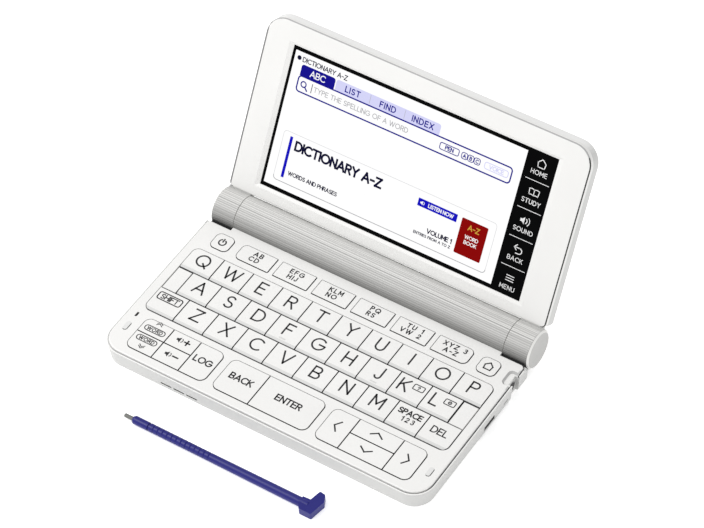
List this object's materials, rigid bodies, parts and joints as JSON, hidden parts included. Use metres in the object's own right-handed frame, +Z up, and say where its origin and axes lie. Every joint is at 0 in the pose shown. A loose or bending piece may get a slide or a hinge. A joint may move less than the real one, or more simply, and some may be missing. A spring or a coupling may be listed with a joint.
{
  "type": "electronic dictionary",
  "caption": "Folding pocket electronic dictionary: keyboard base, display lid hinged on a ribbed battery tube, and a stylus.",
  "frame": {"origin": "on the table, under the middle of the front foot strip", "axes": "+X to the user's right, +Y away from the user, +Z up; the lid stands open at its rest angle"},
  "size_m": [0.1498, 0.1567, 0.0821],
  "materials": {
    "casing": "fine satin moulding, warm grey-white",
    "deck": "fine satin moulding, warm white",
    "keycap": "satin white with dark legends",
    "barrel": "silver-grey with fine ribs along the tube",
    "rubber": "soft matt rubber",
    "board": "green solder mask",
    "black_plastic": "black moulding",
    "steel": "plain steel",
    "cell": "foil-wrapped can",
    "glass": "smooth glass with a black printed border",
    "display": "lit display panel",
    "stylus": "navy moulding with a grey tip"
  },
  "bodies": {
    "base": {"batteries": "cell", "battery_contacts": "steel", "battery_tube": "barrel", "case_screws": "steel", "hinge_pins": "steel", "key_sheet": "rubber", "lower_case": "casing", "main_board": "board", "rubber_pads": "rubber", "speaker": "black_plastic", "stylus_sleeve": "black_plastic", "top_cover": "deck", "usb_socket": "steel"},
    "lid": {"lid_back": "casing", "lid_bezel": "deck", "touch_glass": "glass", "lcd_panel": "display", "lid_knuckles": "barrel"},
    "battery_door": {"battery_door": "barrel"},
    "stylus": {"stylus": "stylus"},
    "back_key": {"back_key": "keycap"},
    "dictionary_keys": {"dictionary_keys": "keycap"},
    "enter_key": {"enter_key": "keycap"},
    "heading_keys": {"heading_keys": "keycap"},
    "history_key": {"history_key": "keycap"},
    "home_key": {"home_key": "keycap"},
    "key_a": {"key_a": "keycap"},
    "key_b": {"key_b": "keycap"},
    "key_c": {"key_c": "keycap"},
    "key_d": {"key_d": "keycap"},
    "key_delete": {"key_delete": "keycap"},
    "key_e": {"key_e": "keycap"},
    "key_f": {"key_f": "keycap"},
    "key_g": {"key_g": "keycap"},
    "key_h": {"key_h": "keycap"},
    "key_i": {"key_i": "keycap"},
    "key_j": {"key_j": "keycap"},
    "key_k": {"key_k": "keycap"},
    "key_l": {"key_l": "keycap"},
    "key_m": {"key_m": "keycap"},
    "key_n": {"key_n": "keycap"},
    "key_o": {"key_o": "keycap"},
    "key_p": {"key_p": "keycap"},
    "key_q": {"key_q": "keycap"},
    "key_r": {"key_r": "keycap"},
    "key_s": {"key_s": "keycap"},
    "key_shift": {"key_shift": "keycap"},
    "key_space": {"key_space": "keycap"},
    "key_t": {"key_t": "keycap"},
    "key_u": {"key_u": "keycap"},
    "key_v": {"key_v": "keycap"},
    "key_w": {"key_w": "keycap"},
    "key_x": {"key_x": "keycap"},
    "key_y": {"key_y": "keycap"},
    "key_z": {"key_z": "keycap"},
    "left_key": {"left_key": "keycap"},
    "power_key": {"power_key": "keycap"},
    "right_key": {"right_key": "keycap"},
    "up_down_keys": {"up_down_keys": "keycap"},
    "volume_keys": {"volume_keys": "keycap"}
  },
  "joints": [
    {"name": "lid_hinge", "type": "hinge", "parent": "base", "child": "lid", "pos_m": [0, 0.0777, 0.00921], "axis": [-1, 0, 0], "range_deg": [-119.7, 20.3]},
    {"name": "lift_stylus", "type": "slide", "parent": "base", "child": "stylus", "axis": [0, 0, 1], "range_m": [0, 0.04]},
    {"name": "battery_door_drop", "type": "slide", "parent": "base", "child": "battery_door", "axis": [0, 0, -1], "range_m": [0, 0.014]},
    {"name": "press_key_q", "type": "slide", "parent": "base", "child": "key_q", "axis": [0, 0, -1], "range_m": [0, 0.00055], "stiffness_N_per_m": 300},
    {"name": "press_key_a", "type": "slide", "parent": "base", "child": "key_a", "axis": [0, 0, -1], "range_m": [0, 0.00055], "stiffness_N_per_m": 300},
    {"name": "press_key_shift", "type": "slide", "parent": "base", "child": "key_shift", "axis": [0, 0, -1], "range_m": [0, 0.00055], "stiffness_N_per_m": 300},
    {"name": "press_enter_key", "type": "slide", "parent": "base", "child": "enter_key", "axis": [0, 0, -1], "range_m": [0, 0.00055], "stiffness_N_per_m": 300},
    {"name": "press_back_key", "type": "slide", "parent": "base", "child": "back_key", "axis": [0, 0, -1], "range_m": [0, 0.00055], "stiffness_N_per_m": 300},
    {"name": "press_left_key", "type": "slide", "parent": "base", "child": "left_key", "axis": [0, 0, -1], "range_m": [0, 0.00055], "stiffness_N_per_m": 300},
    {"name": "press_up_down_keys", "type": "slide", "parent": "base", "child": "up_down_keys", "axis": [0, 0, -1], "range_m": [0, 0.00055], "stiffness_N_per_m": 300},
    {"name": "press_right_key", "type": "slide", "parent": "base", "child": "right_key", "axis": [0, 0, -1], "range_m": [0, 0.00055], "stiffness_N_per_m": 300},
    {"name": "press_volume_keys", "type": "slide", "parent": "base", "child": "volume_keys", "axis": [0, 0, -1], "range_m": [0, 0.00055], "stiffness_N_per_m": 300},
    {"name": "press_heading_keys", "type": "slide", "parent": "base", "child": "heading_keys", "axis": [0, 0, -1], "range_m": [0, 0.00055], "stiffness_N_per_m": 300},
    {"name": "press_history_key", "type": "slide", "parent": "base", "child": "history_key", "axis": [0, 0, -1], "range_m": [0, 0.00055], "stiffness_N_per_m": 300},
    {"name": "press_power_key", "type": "slide", "parent": "base", "child": "power_key", "axis": [0, 0, -1], "range_m": [0, 0.00055], "stiffness_N_per_m": 300},
    {"name": "press_dictionary_keys", "type": "slide", "parent": "base", "child": "dictionary_keys", "axis": [0, 0, -1], "range_m": [0, 0.00055], "stiffness_N_per_m": 300},
    {"name": "press_home_key", "type": "slide", "parent": "base", "child": "home_key", "axis": [0, 0, -1], "range_m": [0, 0.00055], "stiffness_N_per_m": 300},
    {"name": "press_key_b", "type": "slide", "parent": "base", "child": "key_b", "axis": [0, 0, -1], "range_m": [0, 0.00055], "stiffness_N_per_m": 300},
    {"name": "press_key_c", "type": "slide", "parent": "base", "child": "key_c", "axis": [0, 0, -1], "range_m": [0, 0.00055], "stiffness_N_per_m": 300},
    {"name": "press_key_d", "type": "slide", "parent": "base", "child": "key_d", "axis": [0, 0, -1], "range_m": [0, 0.00055], "stiffness_N_per_m": 300},
    {"name": "press_key_delete", "type": "slide", "parent": "base", "child": "key_delete", "axis": [0, 0, -1], "range_m": [0, 0.00055], "stiffness_N_per_m": 300},
    {"name": "press_key_e", "type": "slide", "parent": "base", "child": "key_e", "axis": [0, 0, -1], "range_m": [0, 0.00055], "stiffness_N_per_m": 300},
    {"name": "press_key_f", "type": "slide", "parent": "base", "child": "key_f", "axis": [0, 0, -1], "range_m": [0, 0.00055], "stiffness_N_per_m": 300},
    {"name": "press_key_g", "type": "slide", "parent": "base", "child": "key_g", "axis": [0, 0, -1], "range_m": [0, 0.00055], "stiffness_N_per_m": 300},
    {"name": "press_key_h", "type": "slide", "parent": "base", "child": "key_h", "axis": [0, 0, -1], "range_m": [0, 0.00055], "stiffness_N_per_m": 300},
    {"name": "press_key_i", "type": "slide", "parent": "base", "child": "key_i", "axis": [0, 0, -1], "range_m": [0, 0.00055], "stiffness_N_per_m": 300},
    {"name": "press_key_j", "type": "slide", "parent": "base", "child": "key_j", "axis": [0, 0, -1], "range_m": [0, 0.00055], "stiffness_N_per_m": 300},
    {"name": "press_key_k", "type": "slide", "parent": "base", "child": "key_k", "axis": [0, 0, -1], "range_m": [0, 0.00055], "stiffness_N_per_m": 300},
    {"name": "press_key_l", "type": "slide", "parent": "base", "child": "key_l", "axis": [0, 0, -1], "range_m": [0, 0.00055], "stiffness_N_per_m": 300},
    {"name": "press_key_m", "type": "slide", "parent": "base", "child": "key_m", "axis": [0, 0, -1], "range_m": [0, 0.00055], "stiffness_N_per_m": 300},
    {"name": "press_key_n", "type": "slide", "parent": "base", "child": "key_n", "axis": [0, 0, -1], "range_m": [0, 0.00055], "stiffness_N_per_m": 300},
    {"name": "press_key_o", "type": "slide", "parent": "base", "child": "key_o", "axis": [0, 0, -1], "range_m": [0, 0.00055], "stiffness_N_per_m": 300},
    {"name": "press_key_p", "type": "slide", "parent": "base", "child": "key_p", "axis": [0, 0, -1], "range_m": [0, 0.00055], "stiffness_N_per_m": 300},
    {"name": "press_key_r", "type": "slide", "parent": "base", "child": "key_r", "axis": [0, 0, -1], "range_m": [0, 0.00055], "stiffness_N_per_m": 300},
    {"name": "press_key_s", "type": "slide", "parent": "base", "child": "key_s", "axis": [0, 0, -1], "range_m": [0, 0.00055], "stiffness_N_per_m": 300},
    {"name": "press_key_space", "type": "slide", "parent": "base", "child": "key_space", "axis": [0, 0, -1], "range_m": [0, 0.00055], "stiffness_N_per_m": 300},
    {"name": "press_key_t", "type": "slide", "parent": "base", "child": "key_t", "axis": [0, 0, -1], "range_m": [0, 0.00055], "stiffness_N_per_m": 300},
    {"name": "press_key_u", "type": "slide", "parent": "base", "child": "key_u", "axis": [0, 0, -1], "range_m": [0, 0.00055], "stiffness_N_per_m": 300},
    {"name": "press_key_v", "type": "slide", "parent": "base", "child": "key_v", "axis": [0, 0, -1], "range_m": [0, 0.00055], "stiffness_N_per_m": 300},
    {"name": "press_key_w", "type": "slide", "parent": "base", "child": "key_w", "axis": [0, 0, -1], "range_m": [0, 0.00055], "stiffness_N_per_m": 300},
    {"name": "press_key_x", "type": "slide", "parent": "base", "child": "key_x", "axis": [0, 0, -1], "range_m": [0, 0.00055], "stiffness_N_per_m": 300},
    {"name": "press_key_y", "type": "slide", "parent": "base", "child": "key_y", "axis": [0, 0, -1], "range_m": [0, 0.00055], "stiffness_N_per_m": 300},
    {"name": "press_key_z", "type": "slide", "parent": "base", "child": "key_z", "axis": [0, 0, -1], "range_m": [0, 0.00055], "stiffness_N_per_m": 300}
  ]
}
